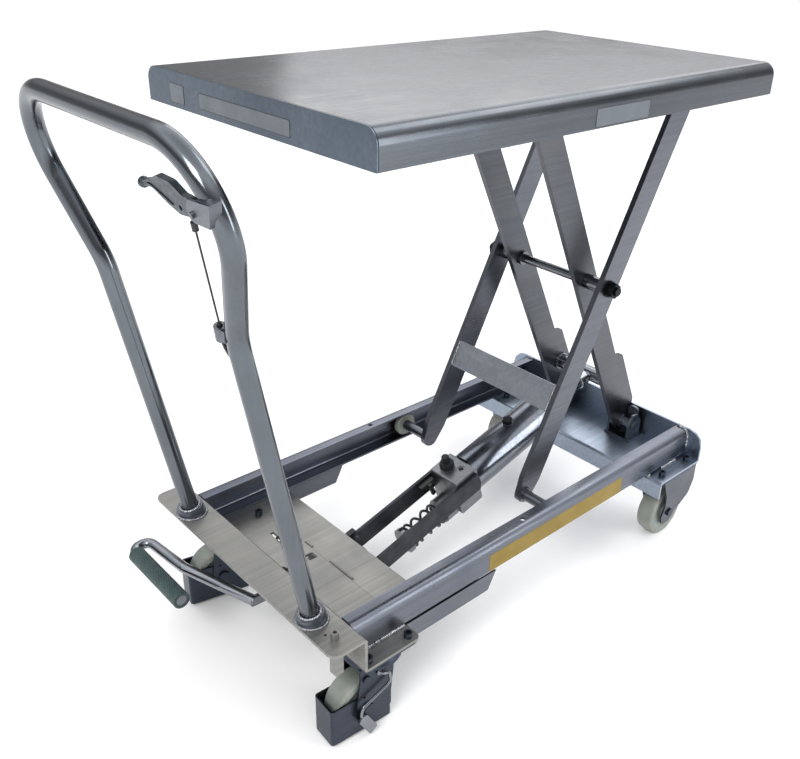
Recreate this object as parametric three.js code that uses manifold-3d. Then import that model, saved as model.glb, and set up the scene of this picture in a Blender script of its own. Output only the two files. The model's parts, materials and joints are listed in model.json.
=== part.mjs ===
// Scissor lift table on four casters, foot pumped, with a U handle at one end.
// Millimetres. +X runs along the deck away from the handle, +Y to the left, +Z up, floor at z = 0.
import * as THREE from "three";
import { mergeVertices } from "three/addons/utils/BufferGeometryUtils.js";
import Module from "manifold-3d";

const wasm = await Module();
wasm.setup();

// ---- driving dimensions -------------------------------------------------
const GAP = 0.3;
const DECK = { x0: -399.4, x1: 424.6, half: 250, top: 912, depth: 48, edge: 20, sheet: 2.5, end: 3 };
const SCISSOR = { fixedX: 398, lowerZ: 189, rollerX: 46, upperZ: 890 };
const INNER_ARM = { y0: 72, y1: 82, half: 26 };
const OUTER_ARM = { y0: 119.5, y1: 129.5, half: 24.5 };
const RAIL = {
  x0: -412.7, x1: 427.1, inner: 189.5, outer: 217.5, z0: 161, z1: 217,
  wall: 4, corner: 8, crown: 18,
};
const FLOOR = { top: 160.7, sheet: 5 };
const FRONT = { lip: -472.8, web: -413, floorEnd: -312.3, top: 218.7, half: 249 };
const REAR = { lip: 302, end: 432.4, top: 219.4, drop: 124, half: 248 };
const UNIT = { x: -280.7, z: 85, tilt: THREE.MathUtils.degToRad(16.51) };
const HANDLE = {
  tube: 13.5,
  bore: 11.5,
  foot: [-448.2, 166.8, 219],
  knee: [-532.3, 166.8, 678.2],
  crown: [-589.6, 276.1, 910.8],
};
const WHEEL = { radius: 50, half: 19, bore: 6.3 };
const FRONT_AXIS = { x: -365, y: 198, trail: 26 };
const REAR_AXLE = { x: 378, y: 209, z: 52, half: 17, plateX: 369 };

// ---- finishes -----------------------------------------------------------
const FINISH = {
  stainless: { color: 0xa7aeb4, roughness: 0.42, metalness: 0.9 },
  polished: { color: 0xcfd3d6, roughness: 0.16, metalness: 1 },
  pale_plate: { color: 0xc3c6c7, roughness: 0.55, metalness: 0.75 },
  dark_steel: { color: 0x4b4e52, roughness: 0.5, metalness: 0.6 },
  spring_steel: { color: 0x1d1e20, roughness: 0.45, metalness: 0.5 },
  pump_body: { color: 0x8b8f93, roughness: 0.5, metalness: 0.7 },
  chrome: { color: 0xdfe2e4, roughness: 0.08, metalness: 1 },
  cast_alloy: { color: 0xb7babc, roughness: 0.5, metalness: 0.8 },
  nylon: { color: 0xdcdccd, roughness: 0.6, metalness: 0 },
  grip: { color: 0x8e9a93, roughness: 0.75, metalness: 0.1 },
  cable: { color: 0x26272a, roughness: 0.6, metalness: 0 },
};

// ---- solids -------------------------------------------------------------
function toSolid(geometry) {
  const bare = geometry.clone();
  bare.deleteAttribute("normal");
  bare.deleteAttribute("uv");
  const merged = mergeVertices(bare, 1e-3);
  const index = merged.index.array;
  const kept = [];
  for (let i = 0; i < index.length; i += 3) {
    const [a, b, c] = [index[i], index[i + 1], index[i + 2]];
    if (a !== b && b !== c && a !== c) kept.push(a, b, c);
  }
  const vertProperties = merged.attributes.position.array;
  const mesh = { numProp: 3, vertProperties, triVerts: new Uint32Array(kept) };
  const solid = new wasm.Manifold(new wasm.Mesh(mesh));
  if (solid.volume() >= 0) return solid;
  for (let i = 0; i < kept.length; i += 3) [kept[i + 1], kept[i + 2]] = [kept[i + 2], kept[i + 1]];
  return new wasm.Manifold(new wasm.Mesh({ ...mesh, triVerts: new Uint32Array(kept) }));
}

function toGeometry(solid) {
  const mesh = solid.getMesh();
  const geometry = new THREE.BufferGeometry();
  geometry.setAttribute("position", new THREE.BufferAttribute(mesh.vertProperties, 3));
  geometry.setIndex(new THREE.BufferAttribute(mesh.triVerts, 1));
  const faceted = geometry.toNonIndexed();
  faceted.computeVertexNormals();
  return faceted;
}

const join = (...pieces) => toGeometry(pieces.map(toSolid).reduce((a, b) => a.add(b)));
const cut = (body, ...tools) =>
  toGeometry(tools.map(toSolid).reduce((a, b) => a.subtract(b), toSolid(body)));
const common = (a, b) => toGeometry(toSolid(a).intersect(toSolid(b)));

// ---- outlines and extrusions --------------------------------------------
// Closed outline from corner points [x, y, radius]; a corner with a radius is rounded in `steps` chords.
function outline(corners, steps = 3) {
  const points = [];
  corners.forEach(([x, y, radius = 0], i) => {
    const corner = new THREE.Vector2(x, y);
    if (!radius) {
      points.push(corner);
      return;
    }
    const before = new THREE.Vector2(...corners.at(i - 1).slice(0, 2)).sub(corner);
    const after = new THREE.Vector2(...corners[(i + 1) % corners.length].slice(0, 2)).sub(corner);
    const shortest = Math.min(before.length(), after.length());
    before.normalize();
    after.normalize();
    const half = Math.acos(THREE.MathUtils.clamp(before.dot(after), -1, 1)) / 2;
    const fillet = Math.min(radius, 0.48 * shortest * Math.tan(half));
    const inward = before.clone().add(after).normalize();
    const centre = corner.clone().addScaledVector(inward, fillet / Math.sin(half));
    const start = corner.clone().addScaledVector(before, fillet / Math.tan(half)).sub(centre);
    const sweep = (Math.PI - 2 * half) * Math.sign(before.y * after.x - before.x * after.y);
    for (let k = 0; k <= steps; k++) {
      points.push(start.clone().rotateAround(new THREE.Vector2(), (sweep * k) / steps).add(centre));
    }
  });
  const spaced = points.filter((p, i) => p.distanceTo(points.at(i - 1)) > 0.05);
  if (THREE.ShapeUtils.isClockWise(spaced)) spaced.reverse();
  return new THREE.Shape(spaced);
}

const box2 = (x0, y0, x1, y1, r = 0) => outline([[x0, y0, r], [x1, y0, r], [x1, y1, r], [x0, y1, r]]);

function withHoles(shape, ...holes) {
  for (const [x, y, r] of holes) {
    const round = Array.from({ length: 16 }, (_, k) => {
      const turn = (-2 * Math.PI * k) / 16;
      return new THREE.Vector2(x + r * Math.cos(turn), y + r * Math.sin(turn));
    });
    shape.holes.push(new THREE.Path(round));
  }
  return shape;
}

function extrude(shape, from, to, xDir, yDir, zDir) {
  const solid = new THREE.ExtrudeGeometry(shape, { depth: to - from, bevelEnabled: false });
  solid.translate(0, 0, from);
  return solid.applyMatrix4(new THREE.Matrix4().makeBasis(xDir, yDir, zDir));
}

const X = new THREE.Vector3(1, 0, 0);
const Y = new THREE.Vector3(0, 1, 0);
const Z = new THREE.Vector3(0, 0, 1);
const alongX = (shapeYZ, x0, x1) => extrude(shapeYZ, x0, x1, Y, Z, X);
const alongY = (shapeXZ, y0, y1) => extrude(shapeXZ, -y1, -y0, X, Z, Y.clone().negate());
const alongZ = (shapeXY, z0, z1) => extrude(shapeXY, z0, z1, X, Y, Z);
const block = (x0, x1, y0, y1, z0, z1) => alongZ(box2(x0, y0, x1, y1), z0, z1);

// ---- round bodies -------------------------------------------------------
function rod(from, to, radius, sides = 16) {
  const a = new THREE.Vector3(...from);
  const b = new THREE.Vector3(...to);
  const solid = new THREE.CylinderGeometry(radius, radius, a.distanceTo(b), sides);
  solid.applyQuaternion(new THREE.Quaternion().setFromUnitVectors(Y, b.clone().sub(a).normalize()));
  return solid.translate(...a.add(b).multiplyScalar(0.5).toArray());
}

const pinY = (x, z, y0, y1, radius, sides = 16) => rod([x, y0, z], [x, y1, z], radius, sides);
const pinZ = (x, y, z0, z1, radius, sides = 16) => rod([x, y, z0], [x, y, z1], radius, sides);
const pinX = (y, z, x0, x1, radius, sides = 16) => rod([x0, y, z], [x1, y, z], radius, sides);

// Ring turned about the Y direction from a closed profile of [radius, y] points.
function turnedY(profile, sides = 28) {
  const closed = [...profile, profile[0]].map(([r, y]) => new THREE.Vector2(r, y));
  return new THREE.LatheGeometry(closed, sides);
}

// A path of straight runs joined by arcs, sampled only where it bends, for sweeping a round section.
class BentPath extends THREE.Curve {
  constructor(corners, steps = 6) {
    super();
    this.points = [];
    this.tangents = [];
    corners.forEach(([x, y, z, radius = 0], i) => {
      const corner = new THREE.Vector3(x, y, z);
      const toward = (other) => new THREE.Vector3(...other.slice(0, 3)).sub(corner).normalize();
      const before = i > 0 ? toward(corners[i - 1]) : null;
      const after = i < corners.length - 1 ? toward(corners[i + 1]) : null;
      if (!before || !after) {
        this.points.push(corner);
        this.tangents.push(after ? after : before.clone().negate());
        return;
      }
      const half = before.angleTo(after) / 2;
      const middle = before.clone().add(after).normalize();
      const centre = corner.clone().addScaledVector(middle, radius / Math.sin(half));
      const axis = before.clone().cross(after).negate().normalize();
      const start = corner.clone().addScaledVector(before, radius / Math.tan(half)).sub(centre);
      for (let k = 0; k <= steps; k++) {
        const turn = ((Math.PI - 2 * half) * k) / steps;
        this.points.push(start.clone().applyAxisAngle(axis, turn).add(centre));
        this.tangents.push(before.clone().negate().applyAxisAngle(axis, turn));
      }
    });
  }
  at(list, t) {
    return list[Math.round(t * (list.length - 1))].clone();
  }
  getPoint(t) {
    return this.at(this.points, t);
  }
  getPointAt(t) {
    return this.at(this.points, t);
  }
  getTangentAt(t) {
    return this.at(this.tangents, t);
  }
  getSpacedPoints() {
    return this.points.map((p) => p.clone());
  }
}

function bentRod(corners, radius, sides = 12, steps = 5) {
  const path = new BentPath(corners, steps);
  const ring = Array.from({ length: sides }, (_, k) => {
    const turn = (2 * Math.PI * k) / sides;
    return new THREE.Vector2(radius * Math.cos(turn), radius * Math.sin(turn));
  });
  const options = { steps: path.points.length - 1, extrudePath: path, bevelEnabled: false };
  return new THREE.ExtrudeGeometry(new THREE.Shape(ring), options);
}

const hexY = (x, z, y0, y1, across) => pinY(x, z, y0, y1, across / Math.sqrt(3), 6);
const hexZ = (x, y, z0, z1, across) => pinZ(x, y, z0, z1, across / Math.sqrt(3), 6);

// ---- scene graph --------------------------------------------------------
const table = new THREE.Group();

function part(name, geometry, finish, parent = table) {
  const mesh = new THREE.Mesh(geometry, new THREE.MeshStandardMaterial(FINISH[finish]));
  mesh.name = name;
  mesh.userData.slot = finish;
  parent.add(mesh);
  return mesh;
}

// The same geometry on both sides of the centre plane; `geometry` is the left one.
function pair(name, geometry, finish, parent = table) {
  part(`${name}_left`, geometry, finish, parent);
  part(`${name}_right`, geometry, finish, parent).scale.y = -1;
}

function placed(x, y, z, xDir, zDir) {
  const group = new THREE.Group();
  const across = zDir.clone().cross(xDir);
  group.quaternion.setFromRotationMatrix(new THREE.Matrix4().makeBasis(xDir, across, zDir));
  group.position.set(x, y, z);
  table.add(group);
  return group;
}

// ---- front crossmember, at the handle end --------------------------------
const SLIT = { x: FRONT.floorEnd - 27.2, half: 3.4, y0: 71, y1: 102 };
const CABLE = { radius: 2.6, webY: -20, webZ: 192 };
const casterBolts = [];
for (const dx of [-37.5, 37.5]) for (const dy of [-39, 39]) casterBolts.push([dx, dy]);
const rearBolts = [];
for (const dx of [-41, 41]) for (const dy of [-33, 23.5]) rearBolts.push([dx, dy]);

function frontCrossmember() {
  const t = FLOOR.sheet;
  const { lip, web, floorEnd, top, half } = FRONT;
  const bent = outline([
    [lip, top], [web, top, 6], [web, FLOOR.top], [floorEnd, FLOOR.top],
    [floorEnd, FLOOR.top - t], [web - t, FLOOR.top - t, 6], [web - t, top - t, 1], [lip, top - t],
  ]);
  const plan = outline([[lip, -half, 14], [floorEnd, -half, 8], [floorEnd, half, 8], [lip, half, 14]]);
  const folded = common(alongY(bent, -half, half), alongZ(plan, 0, 300));
  const holes = casterBolts.flatMap(([dx, dy]) =>
    [-1, 1].map((side) => pinZ(FRONT_AXIS.x + dx, side * FRONT_AXIS.y + dy, 150, 170, 4.8, 12)));
  const lug = join(
    block(-449, -435, -222, -208, 150, top - t + 1),
    alongY(box2(-456, 196, -428, top - t + 1), -228, -202),
  );
  const stud = pinZ(-446.5, -218.5, top - 2, top + 11, 6, 16);
  return cut(
    join(folded, lug, stud),
    ...holes,
    alongZ(box2(-333.6, -1, -317.6, 15, 2.5), 150, 170),
    hexZ(-446.5, -218.5, top + 6, top + 14, 6),
    block(SLIT.x - SLIT.half, SLIT.x + SLIT.half, SLIT.y0, SLIT.y1, 150, 170),
    pinX(CABLE.webY, CABLE.webZ, web - 10, web + 10, CABLE.radius + 1.5, 16),
    pinZ(HANDLE.foot[0], -HANDLE.foot[1], top - 10, top + 10, 9.5),
    pinZ(-453, -205, top - 10, top + 10, 2, 10),
  );
}

// ---- rear crossmember ----------------------------------------------------
function rearCrossmember() {
  const t = FLOOR.sheet;
  const { lip, end, top, drop, half } = REAR;
  const bent = outline([
    [lip, FLOOR.top, 6], [end - t, FLOOR.top], [end - t, top], [end, top],
    [end, FLOOR.top - t, 6], [lip + t, FLOOR.top - t, 1], [lip + t, drop], [lip, drop],
  ]);
  const face = outline([[-half, drop - 1], [half, drop - 1], [half, top, 30], [-half, top, 30]]);
  const holes = rearBolts.flatMap(([dx, dy]) =>
    [-1, 1].map((side) => pinZ(REAR_AXLE.plateX + dx, side * (REAR_AXLE.y + dy), 150, 170, 4.8, 12)));
  return cut(common(alongY(bent, -half, half), alongX(face, lip - 5, end + 5)), ...holes);
}

// ---- chassis rails, gussets, tray ------------------------------------------
function rail() {
  const { x0, x1, inner, outer, z0, z1, wall, corner, crown } = RAIL;
  const section = outline([
    [inner, z0], [outer, z0, corner], [outer, z1, crown], [inner, z1],
    [inner, z1 - wall], [outer - wall, z1 - wall, crown - wall],
    [outer - wall, z0 + wall, corner - wall], [inner, z0 + wall],
  ], 5);
  return cut(alongX(section, x0, x1), pinZ(-41.3, 200.8, z1 - 10, z1 + 5, 4.6, 10));
}

function gusset() {
  const wall = 4;
  const side = outline([[-312, 128], [-135, 128], [-118, FLOOR.top], [-312, FLOOR.top]]);
  const trough = block(-320, -100, RAIL.inner + wall, RAIL.outer - wall, 128 + wall, 200);
  return cut(alongY(side, RAIL.inner, RAIL.outer), trough);
}

const TRAY = { x0: -312, x1: -246, half: 189.2, z0: 155.7, z1: 160.7 };
const CYLINDER_PIN = 8;

function trayPlate() {
  const ear = withHoles(
    outline([
      [-306, TRAY.z0 + 1], [-306, 110], [UNIT.x - 14, UNIT.z - 17, 15],
      [UNIT.x + 14, UNIT.z - 17, 15], [-256, 110], [-256, TRAY.z0 + 1],
    ]),
    [UNIT.x, UNIT.z, CYLINDER_PIN + GAP],
  );
  const ears = [42, -47].map((y) => alongY(ear, y, y + 5));
  const weld = (y0, y1) => rod([-309, y0, TRAY.z1], [-309, y1, TRAY.z1], 2.2, 8);
  const plate = block(TRAY.x0, TRAY.x1, -TRAY.half, TRAY.half, TRAY.z0, TRAY.z1);
  return join(plate, ...ears, weld(-83, -24), weld(25, 45));
}

function cylinderPin() {
  return join(
    pinY(UNIT.x, UNIT.z, -54, 54, CYLINDER_PIN),
    pinY(UNIT.x, UNIT.z, -53, -47.4, 13),
    pinY(UNIT.x, UNIT.z, 47.4, 50.4, 12),
  );
}

part("front_crossmember", frontCrossmember(), "pale_plate");
part("rear_crossmember", rearCrossmember(), "stainless");
pair("rail", rail(), "stainless");
pair("gusset", gusset(), "stainless");
part("tray_plate", trayPlate(), "pale_plate");
part("cylinder_pin", cylinderPin(), "polished");

// ---- fixed pivots of the inner arms ----------------------------------------
function pivotBracket() {
  const { fixedX: x, lowerZ: z } = SCISSOR;
  const low = FLOOR.top + GAP;
  const side = outline([
    [x - 20, low], [x + 20, low], [x + 20, z + 8, 3],
    [x + 8, z + 26, 4], [x - 8, z + 26, 4], [x - 20, z + 8, 3],
  ]);
  const strap = outline([[x + 12, low], [x + 17, low], [x + 17, 224], [x + 12, 224]]);
  const strapFace = outline([[84, low], [108, low], [108, 224, 8], [84, 224, 8]]);
  return join(
    block(x - 22, x + 22, 56, 119, low, low + 5),
    alongY(side, 60, 65),
    alongY(side, 107, 112),
    common(alongY(strap, 84, 108), alongX(strapFace, x, x + 30)),
    pinY(x, z, 57, 115, 10),
    pinY(x, z, 64, INNER_ARM.y0 - GAP, 14),
    pinY(x, z, INNER_ARM.y1 + GAP, INNER_ARM.y1 + 4, 15),
    pinY(x, z, INNER_ARM.y1 + 3, 108, 11),
    pinY(x, z, 111, 114, 8),
  );
}
pair("pivot_bracket", pivotBracket(), "stainless");

// ---- push handle -------------------------------------------------------------
const [footX, footY, footZ] = HANDLE.foot;
const [kneeX, kneeY, kneeZ] = HANDLE.knee;
const [crownX, crownY, crownZ] = HANDLE.crown;
const legSlope = (kneeX - footX) / (kneeZ - footZ);
const belowFoot = [footX - 20 * legSlope, footZ - 20];
const handleRoute = [
  [belowFoot[0], footY, belowFoot[1]],
  [kneeX, kneeY, kneeZ, 90],
  [crownX, crownY, crownZ, 88],
  [crownX, -crownY, crownZ, 88],
  [kneeX, -kneeY, kneeZ, 90],
  [belowFoot[0], -footY, belowFoot[1]],
];
const aboveFlange = block(-700, -300, -400, 400, FRONT.top + GAP, 1100);

// The release cable enters the right leg through a short slot under its guide.
const CABLE_ENTRY = [[-539, -149, 668], [-529, -160, 640, 8], [-521, -166.8, 616]];

function handleTube() {
  const tube = cut(bentRod(handleRoute, HANDLE.tube, 16, 7), bentRod(handleRoute, HANDLE.bore, 8, 3));
  return cut(common(tube, aboveFlange), bentRod(CABLE_ENTRY, 6, 10, 2));
}

function collar() {
  const lean = (s) => [footX + s * legSlope, footY, footZ + s];
  const cup = join(rod(lean(-12), lean(15), 21, 20), rod(lean(-12), lean(7), 23, 20));
  return cut(common(cup, aboveFlange), rod(lean(-30), lean(40), HANDLE.tube + GAP, 16));
}
part("handle_tube", handleTube(), "polished");
pair("handle_collar", collar(), "stainless");

// ---- release lever under the handle bar ---------------------------------------
// Its plane holds Y and the direction of the upper leg; local X is +Y, local Z is up the leg.
const LEVER = { x: -584.5, y: -187, z: 847, half: 4, pin: 3.6 };
const legUp = new THREE.Vector3(-57.3, 0, 232.6).normalize();
const leverFrame = placed(LEVER.x, LEVER.y, LEVER.z, Y, legUp);
const LEVER_PIVOT = [-15.8, -1];

function releaseLever() {
  const shape = withHoles(
    outline([
      [-20.5, 4.5, 5], [-8, 12.5, 8], [4, 13, 10], [22, 23, 14], [50, 24, 20], [77, 13, 20], [92, 9],
      [92, 3], [68, 7, 16], [40, -6, 16], [20, -12, 10], [-20.5, -7, 6],
    ], 3),
    [...LEVER_PIVOT, LEVER.pin + GAP],
    [14.8, -3.1, 3],
  );
  const knob = new THREE.SphereGeometry(6.5, 14, 8).translate(94, 0, 5);
  const channel = outline([
    [26, 15, 3], [36, 19.5, 3], [52, 19.5, 6], [78, 9.5], [70, 9, 6], [46, 1, 6], [32, -4.5, 3], [26, -3, 3],
  ], 1);
  const deep = LEVER.half - 1.3;
  return cut(
    join(alongY(shape, -LEVER.half, LEVER.half), knob),
    alongY(channel, deep, LEVER.half + 2),
    alongY(channel, -LEVER.half - 2, -deep),
  );
}

function leverBracket() {
  const reach = LEVER.half + GAP;
  // The far edge is slanted like the leg, so the bracket ends at the tube and doesn't pass in front of it.
  const cheek = outline([[-56, 18], [-14, 15, 5], [-6, 7, 4], [-6, -8, 4], [-14, -11, 5], [-43, -10]]);
  const filler = outline([[-56, 18], [-31, 18], [-31, -10], [-43, -10]]);
  const [px, pz] = LEVER_PIVOT;
  const pieces = [
    alongY(cheek, -reach - 3, -reach),
    alongY(cheek, reach, reach + 3),
    alongY(filler, -reach - 1, reach + 1),
    pinY(px, pz, -reach - 6, reach + 6, LEVER.pin, 14),
    hexY(px, pz, -reach - 6.5, -reach - 2, 10),
  ];
  const clamp = join(...pieces);
  leverFrame.updateMatrix();
  clamp.applyMatrix4(leverFrame.matrix);
  const room = bentRod(handleRoute, HANDLE.tube + GAP, 16, 7);
  return clearSide(clamp, room);
}

// The bracket sits on the inner side of the leg, so only the piece toward the lever is kept.
function clearSide(body, room) {
  const pieces = toSolid(body).subtract(toSolid(room)).decompose();
  return toGeometry(pieces.reduce((a, b) => (b.boundingBox().max[1] > a.boundingBox().max[1] ? b : a)));
}
part("release_lever", releaseLever(), "cast_alloy", leverFrame);
part("lever_bracket", leverBracket(), "stainless");

// ---- release cable --------------------------------------------------------------
const onFloor = FLOOR.top + CABLE.radius + GAP;
// A bare wire runs from the lever to the guide, and a sheath carries it from there on.
const WIRE_RADIUS = 1.2;
const wireTop = [-582.5, -187, 829];
const sheathTop = [-547.3, -156, 701.5];
const sheathRoute = [
  sheathTop,
  [-539, -147, 668, 30],
  [-529, -160, 640, 14],
  [-521, -166.8, 616, 30],
  [footX, -footY, footZ + 20, 30],
  [footX, -footY, CABLE.webZ, 16],
  [footX, CABLE.webY, CABLE.webZ, 16],
  [-398, CABLE.webY, CABLE.webZ, 14],
  [-374, -8, onFloor, 14],
  [SLIT.x, 62, onFloor, 14],
  [SLIT.x, 83, onFloor, 8],
  [SLIT.x, 94, 142, 12],
  [-316, 104, 128],
];

function releaseCable() {
  const ferrule = rod([-583.4, -187.8, 832], [-580.6, -185.4, 822], 3.6, 14);
  const wire = rod(wireTop, [-546.5, -155.3, 698.6], WIRE_RADIUS, 8);
  return join(bentRod(sheathRoute, CABLE.radius, 6, 3), wire, ferrule);
}

function cableGuide() {
  const low = [-541.5, -149.7, 678];
  const high = [-546.2, -154.8, 697];
  const sleeve = cut(
    join(rod(low, high, 7.5, 16), block(-549, -537, -168, -152, 680, 694)),
    rod([-539, -147, 668], [-551, -160, 716.5], CABLE.radius + 1.2, 12),
  );
  return clearSide(sleeve, bentRod(handleRoute, HANDLE.tube + GAP, 16, 7));
}
part("release_cable", releaseCable(), "cable");
part("cable_guide", cableGuide(), "stainless");

// ---- casters -----------------------------------------------------------------------
const PLATE_TOP = FLOOR.top - FLOOR.sheet - GAP;

function wheel(r, w) {
  const { bore } = WHEEL;
  return turnedY([
    [bore, -w], [15, -w], [35, -w + 4], [38, -w], [r - 3, -w], [r, -w + 4],
    [r, w - 4], [r - 3, w], [38, w], [35, w - 4], [15, w], [bore, w],
  ], 24);
}

// Mounting plate with its four socket screws; the heads sit on the crossmember floor.
function casterPlate(stations, x0, y0, x1, y1) {
  const bolts = stations.flatMap(([dx, dy]) => [
    pinZ(dx, dy, PLATE_TOP - 1, FLOOR.top + 2, 4, 10),
    pinZ(dx, dy, FLOOR.top + GAP, FLOOR.top + 9, 6.5, 14),
  ]);
  const sockets = stations.map(([dx, dy]) => hexZ(dx, dy, FLOOR.top + 5, FLOOR.top + 12, 6));
  return cut(join(alongZ(box2(x0, y0, x1, y1, 8), PLATE_TOP - 4, PLATE_TOP), ...bolts), ...sockets);
}

function frontCasterPlate() {
  return join(
    casterPlate(casterBolts, -50, -50, 50, 50),
    pinZ(0, 0, 121, PLATE_TOP - 1, 8),
    hexZ(0, 0, 118, 125.6, 22),
  );
}

// Local +X is the trailing direction, local +Y the outer side of the left caster.
function swivelFork() {
  const { trail } = FRONT_AXIS;
  const leg = withHoles(
    outline([
      [-23, 129, 3], [-22, 100], [-18, 60], [-18, 30, 4],
      [46, 30, 12], [45, 60], [38, 108, 8], [38, 129, 3],
    ]),
    [31, 74, 2.2],
  );
  const guard = outline([
    [-18, -23.4], [88, -23.4, 5], [88, 23.4, 5], [-18, 23.4],
    [-18, 20.4], [85, 20.4, 2], [85, -20.4, 2], [-18, -20.4],
  ]);
  const pieces = [alongZ(box2(-36, -26.1, 38, 26.1, 4), 126, 130), alongZ(guard, 6, 74)];
  for (const side of [-1, 1]) {
    pieces.push(alongY(leg, side > 0 ? 23.1 : -26.1, side > 0 ? 26.1 : -23.1));
    pieces.push(hexY(28, 109, side > 0 ? 25 : -29.5, side > 0 ? 29.5 : -25, 11));
  }
  pieces.push(pinY(trail, 50, -30.5, 30.5, 5.8, 16));
  pieces.push(hexY(trail, 50, -30, -25, 17), hexY(trail, 50, 25, 30, 17));
  const bowl = [[8.3, 129], [36, 129], [46, 134], [46, 139], [38, 149.5], [8.3, 149.5]];
  pieces.push(turnedY(bowl, 32).rotateX(Math.PI / 2));
  return cut(join(...pieces), pinZ(0, 0, 120, 160, 8.3));
}

// Foot brake: a bent wire hung beside the outer leg, ending in a flat ribbed pad.
const BRAKE_HINGE = [5, 112];
function brakePedal() {
  const [hingeX, hingeZ] = BRAKE_HINGE;
  const wire = bentRod([
    [hingeX, 27, hingeZ], [hingeX, 34, hingeZ, 5], [-8, 34, 108, 5], [-12, 34, 88, 8],
    [40, 34, 64, 7], [43, 34, 50, 6], [36, 34, 38],
  ], 2.6, 8, 2);
  const padEdge = outline([[48, 40, 3], [34, 50, 3], [14, 14, 3], [28, 4, 3]]);
  const pad = alongY(padEdge, 31.4, 36.6);
  return join(wire, pad, pinY(hingeX, hingeZ, 26.4, 30, 5.5, 12));
}

for (const [side, sign, turn] of [["left", 1, 12], ["right", -1, 4]]) {
  const station = new THREE.Group();
  station.position.set(FRONT_AXIS.x, sign * FRONT_AXIS.y, 0);
  table.add(station);
  part(`front_caster_plate_${side}`, frontCasterPlate(), "stainless", station);
  const swivel = new THREE.Group();
  swivel.rotation.z = THREE.MathUtils.degToRad(180 - turn);
  station.add(swivel);
  part(`swivel_fork_${side}`, swivelFork(), "stainless", swivel);
  const wheelMesh = part(`front_wheel_${side}`, wheel(WHEEL.radius, WHEEL.half), "nylon", swivel);
  wheelMesh.position.set(FRONT_AXIS.trail, 0, WHEEL.radius);
  // After the half turn the outer side is local -Y on the left caster and +Y on the right one.
  part(`brake_pedal_${side}`, brakePedal(), "stainless", swivel).scale.y = -sign;
}

function rearFork() {
  const { z, half } = REAR_AXLE;
  const x = REAR_AXLE.x - REAR_AXLE.plateX;
  const leg = outline([
    [-50, 154], [-22, 106, 20], [-12, 75, 20], [-14, 46, 8], [-4, 24, 12], [24, 21, 8], [34, 42, 8],
    [68, 74, 14], [70, 110, 24], [57, 154],
  ]);
  const legs = [-1, 1].map((side) => {
    const near = half + 3.5;
    const plate = alongY(leg, side > 0 ? near : -near - 3, side > 0 ? near + 3 : -near);
    const splay = new THREE.Matrix4().makeShear(0, 0, 0, 0, 0, side * 0.142);
    return plate.translate(0, 0, -z).applyMatrix4(splay).translate(0, 0, z);
  });
  const axle = pinY(x, z, -half - 4, half + 4, 5.8, 16);
  const trimmed = common(join(...legs, axle), block(-60, 80, -60, 60, 0, PLATE_TOP - 1));
  return join(
    casterPlate(rearBolts, -50, -39, 63, 38.7),
    trimmed,
    hexY(x, z, -half - 11, -half - 5.5, 15),
    hexY(x, z, half + 5.5, half + 11, 15),
  );
}

for (const [side, sign] of [["left", 1], ["right", -1]]) {
  const station = new THREE.Group();
  station.position.set(REAR_AXLE.plateX, sign * REAR_AXLE.y, 0);
  table.add(station);
  // The two forks are mirror images: the wider side of each plate points to the centre of the frame.
  part(`rear_caster_fork_${side}`, rearFork(), "stainless", station).scale.y = sign;
  const wheelMesh = part(`rear_wheel_${side}`, wheel(REAR_AXLE.z, REAR_AXLE.half), "nylon", station);
  wheelMesh.position.set(REAR_AXLE.x - REAR_AXLE.plateX, 0, REAR_AXLE.z);
}

// ---- scissor arms ---------------------------------------------------------------------
const S = SCISSOR;
const span = new THREE.Vector3(S.fixedX - S.rollerX, 0, S.upperZ - S.lowerZ).normalize();
const innerUp = new THREE.Vector3(-span.x, 0, span.z);
const innerSide = new THREE.Vector3(-span.z, 0, -span.x);
const outerSide = new THREE.Vector3(-span.z, 0, span.x);
// Local X runs up each arm from its lower pivot; local Z is square to it, toward the handle end.
const innerFrame = placed(S.fixedX, 0, S.lowerZ, innerUp, innerSide);
const outerFrame = placed(S.rollerX, 0, S.lowerZ, span, outerSide);
const armLength = Math.hypot(S.fixedX - S.rollerX, S.upperZ - S.lowerZ);
const mid = armLength / 2;
const LIFT_SHAFT = { u: 91.9, n: -15.4, radius: 15 };

function innerArm() {
  const h = INNER_ARM.half;
  const shape = withHoles(
    outline([
      [-18, 18, 17], [25, h, 20], [armLength - 58, h, 30], [armLength + 15, 15, 14.9],
      [armLength + 15, -15, 14.9], [armLength - 58, -h, 30],
      [172, -h, 6], [160, -44, 6], [30, -44, 12], [-18, -18, 17],
    ]),
    [0, 0, 10 + GAP], [mid, 0, 8 + GAP], [armLength, 0, 9 + GAP],
  );
  return alongY(shape, INNER_ARM.y0, INNER_ARM.y1);
}

function outerArm() {
  const h = OUTER_ARM.half;
  const shape = withHoles(
    outline([
      [-15, -15, 14.9], [32, -h, 10], [armLength - 52, -h, 20], [armLength + 15, -15, 14.9],
      [armLength + 15, 15, 14.9], [armLength - 52, h, 20], [32, h, 6], [-15, 15, 14.9],
    ]),
    [mid, 0, 8 + GAP], [armLength, 0, 9 + GAP],
  );
  const stub = join(
    pinY(0, 0, OUTER_ARM.y0 + 1, 206, 9),
    pinY(0, 0, OUTER_ARM.y1 - 1, 190.5, 10),
    pinY(0, 0, OUTER_ARM.y1 - 1, OUTER_ARM.y1 + 3, 14),
  );
  return join(alongY(shape, OUTER_ARM.y0, OUTER_ARM.y1), stub);
}

function rollerRing(bore, radius, y0, y1) {
  const rim = [[radius - 2, y0], [radius, y0 + 2], [radius, y1 - 2], [radius - 2, y1]];
  return turnedY([[bore, y0], ...rim, [bore, y1]], 24);
}

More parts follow.
